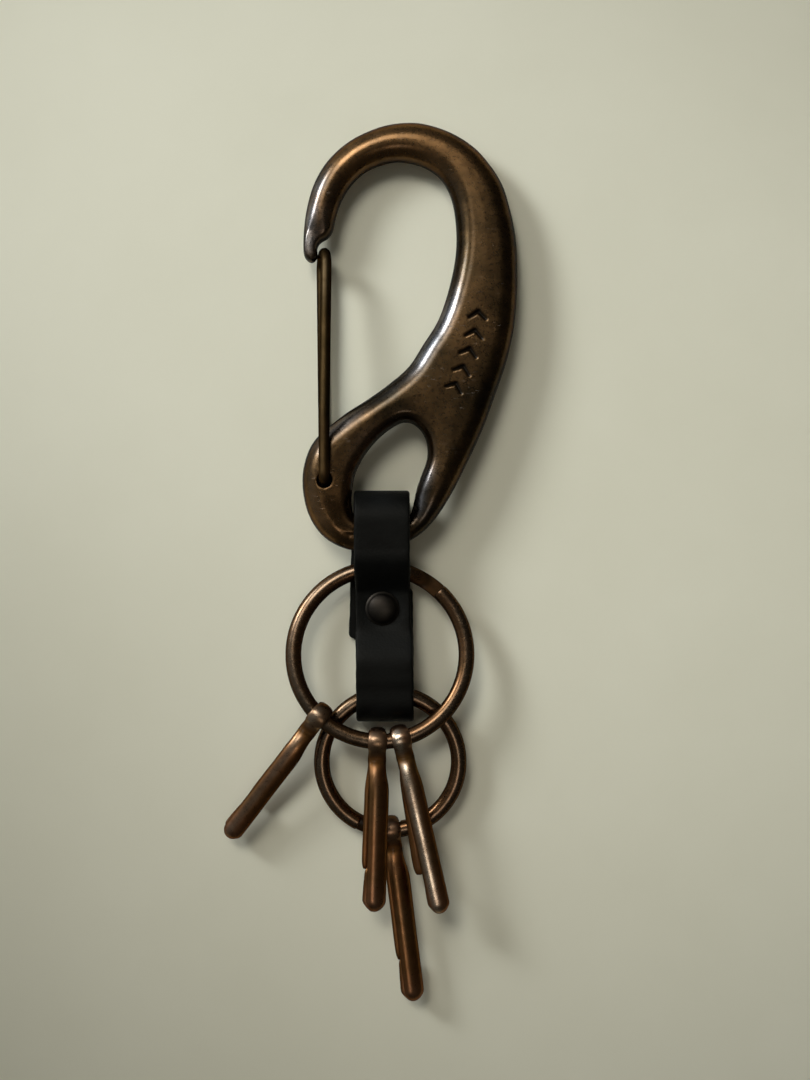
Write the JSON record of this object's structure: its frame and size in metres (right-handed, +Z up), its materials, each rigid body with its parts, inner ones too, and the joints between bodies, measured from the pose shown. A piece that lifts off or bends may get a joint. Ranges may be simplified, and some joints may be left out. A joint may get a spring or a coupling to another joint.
{
  "type": "carabiner keyring",
  "caption": "Cast hook with a sprung wire gate, a riveted leather strap through its eye, split rings and long key hooks.",
  "frame": {"origin": "middle of the underside of the box of the whole keyring lying flat", "axes": "+Y along the keyring towards the hook's crown, +X towards the hook's spine, +Z up off the surface it lies on"},
  "size_m": [0.0518, 0.155, 0.0112],
  "materials": {
    "dark_bronze": "worn antique, satin",
    "gate_wire": "satin",
    "black_leather": "smooth, satin",
    "dark_rivet": "dark antique, satin",
    "copper_bronze": "antique copper, satin"
  },
  "bodies": {
    "carabiner": {"carabiner_body": "dark_bronze"},
    "gate": {"wire_gate": "gate_wire"},
    "strap": {"leather_strap": "black_leather", "rivet_cap": "dark_rivet", "rivet_post": "dark_rivet"},
    "large_ring": {"large_split_ring": "copper_bronze"},
    "small_ring": {"small_split_ring": "copper_bronze"},
    "key_hook_left": {"key_hook_left": "copper_bronze"},
    "key_hook_middle": {"key_hook_middle": "copper_bronze"},
    "key_hook_right": {"key_hook_right": "copper_bronze"},
    "key_hook_lower": {"key_hook_lower": "copper_bronze"}
  },
  "joints": [
    {"name": "gate_hinge", "type": "hinge", "parent": "carabiner", "child": "gate", "pos_m": [-0.00814, 0.01336, 0.00589], "axis": [0, -0.0375, -0.9993], "range_deg": [0, 26], "stiffness_Nm_per_rad": 0.012, "springref_deg": -9.74},
    {"name": "strap_swing", "type": "hinge", "parent": "carabiner", "child": "strap", "pos_m": [0.00211, 0.00502, 0.00585], "axis": [-1, 0, 0], "range_deg": [-60, 60]},
    {"name": "large_ring_swing", "type": "hinge", "parent": "strap", "child": "large_ring", "pos_m": [0.00171, -0.00118, 0.00355], "axis": [-1, 0, 0], "range_deg": [0, 60]},
    {"name": "small_ring_swing", "type": "hinge", "parent": "strap", "child": "small_ring", "pos_m": [0.00351, -0.02328, 0.0041], "axis": [-1, 0, 0], "range_deg": [-35, 0]},
    {"name": "hook_left_swing", "type": "hinge", "parent": "large_ring", "child": "key_hook_left", "pos_m": [-0.00893, -0.027, 0.00709], "axis": [-0.7145, 0.6932, -0.095], "range_deg": [-30, 60]},
    {"name": "hook_middle_swing", "type": "hinge", "parent": "large_ring", "child": "key_hook_middle", "pos_m": [0.00128, -0.03129, 0.00767], "axis": [-0.9996, 0.0277, -0.0038], "range_deg": [0, 60]},
    {"name": "hook_right_swing", "type": "hinge", "parent": "large_ring", "child": "key_hook_right", "pos_m": [0.00539, -0.03085, 0.00761], "axis": [-0.9703, -0.2397, 0.0328], "range_deg": [0, 60]},
    {"name": "hook_lower_swing", "type": "hinge", "parent": "small_ring", "child": "key_hook_lower", "pos_m": [0.00364, -0.04746, 0.00313], "axis": [-0.9999, -0.0105, -0.0004], "range_deg": [-40, 40]}
  ]
}
